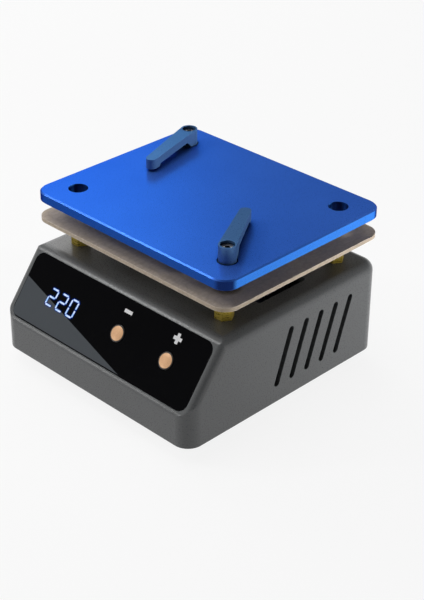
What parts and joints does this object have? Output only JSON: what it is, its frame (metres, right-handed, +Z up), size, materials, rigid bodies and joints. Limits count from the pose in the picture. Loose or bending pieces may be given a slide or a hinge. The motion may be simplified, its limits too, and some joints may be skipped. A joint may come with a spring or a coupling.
{
  "type": "pcb preheater",
  "caption": "Small bench preheater for circuit boards with a sloped control panel, a blue heated plate on brass standoffs and swivelling clamps.",
  "frame": {"origin": "on the table, under the middle of the housing", "axes": "+Z up, +X along the front to the right, the control panel faces -Y"},
  "size_m": [0.08, 0.08, 0.0576],
  "materials": {
    "housing_grey": "matte grey moulding",
    "cover_grey": "matte dark grey moulding",
    "foot_rubber": "matte black",
    "screw_steel": "plated",
    "brass": "turned, satin",
    "panel_black": "gloss black",
    "dark_plastic": "matte black",
    "button_copper": "satin copper",
    "board_green": "green solder mask",
    "capacitor_sleeve": "dark sleeve",
    "ferrite": "matte dark grey",
    "bare_aluminium": "extruded",
    "terminal_green": "matte green",
    "socket_ivory": "matte ivory",
    "ribbon_grey": "matte grey",
    "lead_red": "red sleeve",
    "lead_black": "black sleeve",
    "insulation_cream": "matte cream board",
    "spacer_white": "matte white",
    "anodised_blue": "blue anodised",
    "anodised_steel_blue": "steel-blue anodised"
  },
  "bodies": {
    "base": {"housing_shell": "housing_grey", "bottom_cover": "cover_grey", "rubber_feet": "foot_rubber", "base_screws": "screw_steel", "front_panel": "panel_black", "display_module": "dark_plastic", "control_board": "board_green", "control_board_screws": "screw_steel", "tact_switches": "dark_plastic", "main_board": "board_green", "main_board_screws": "screw_steel", "dc_jack": "dark_plastic", "filter_capacitors": "capacitor_sleeve", "power_inductor": "ferrite", "power_transistor": "dark_plastic", "heat_sink": "bare_aluminium", "controller_chip": "dark_plastic", "heater_terminal": "terminal_green", "sensor_socket": "socket_ivory", "ribbon_sockets": "dark_plastic", "ribbon_cable": "ribbon_grey", "front_left_standoff": "brass", "front_right_standoff": "brass", "rear_left_standoff": "brass", "rear_right_standoff": "brass", "standoff_screws": "screw_steel", "insulation_plate": "insulation_cream", "plate_spacers": "spacer_white", "plate_screws": "screw_steel", "heater_block": "bare_aluminium", "heater_leads": "lead_red", "temperature_sensor": "socket_ivory", "sensor_leads": "lead_black", "work_plate": "anodised_blue", "front_clamp_spring": "screw_steel", "rear_clamp_spring": "screw_steel"},
    "minus_button": {"minus_button": "button_copper", "minus_plunger": "dark_plastic"},
    "plus_button": {"plus_button": "button_copper", "plus_plunger": "dark_plastic"},
    "front_clamp_pin": {"front_clamp_pin": "screw_steel", "front_clamp_washer": "screw_steel", "front_clamp_nut": "brass"},
    "front_clamp_arm": {"front_clamp_arm": "anodised_steel_blue"},
    "rear_clamp_pin": {"rear_clamp_pin": "screw_steel", "rear_clamp_washer": "screw_steel", "rear_clamp_nut": "brass"},
    "rear_clamp_arm": {"rear_clamp_arm": "anodised_steel_blue"}
  },
  "joints": [
    {"name": "minus_button_press", "type": "slide", "parent": "base", "child": "minus_button", "axis": [0, 0.8007, -0.599], "range_m": [0, 0.0004], "stiffness_N_per_m": 2000, "springref_m": -0.0003},
    {"name": "plus_button_press", "type": "slide", "parent": "base", "child": "plus_button", "axis": [0, 0.8007, -0.599], "range_m": [0, 0.0004], "stiffness_N_per_m": 2000, "springref_m": -0.0003},
    {"name": "front_clamp_lift", "type": "slide", "parent": "base", "child": "front_clamp_pin", "axis": [0, 0, 1], "range_m": [0, 0.0014], "stiffness_N_per_m": 800, "springref_m": -0.0015, "deforming": ["front_clamp_spring"]},
    {"name": "front_clamp_swivel", "type": "hinge", "parent": "front_clamp_pin", "child": "front_clamp_arm", "pos_m": [0.031, -0.0161, 0.0526], "axis": [0, 0, 1], "continuous": true},
    {"name": "rear_clamp_lift", "type": "slide", "parent": "base", "child": "rear_clamp_pin", "axis": [0, 0, 1], "range_m": [0, 0.0014], "stiffness_N_per_m": 800, "springref_m": -0.0015, "deforming": ["rear_clamp_spring"]},
    {"name": "rear_clamp_swivel", "type": "hinge", "parent": "rear_clamp_pin", "child": "rear_clamp_arm", "pos_m": [-0.031, 0.0301, 0.0526], "axis": [0, 0, 1], "continuous": true}
  ]
}
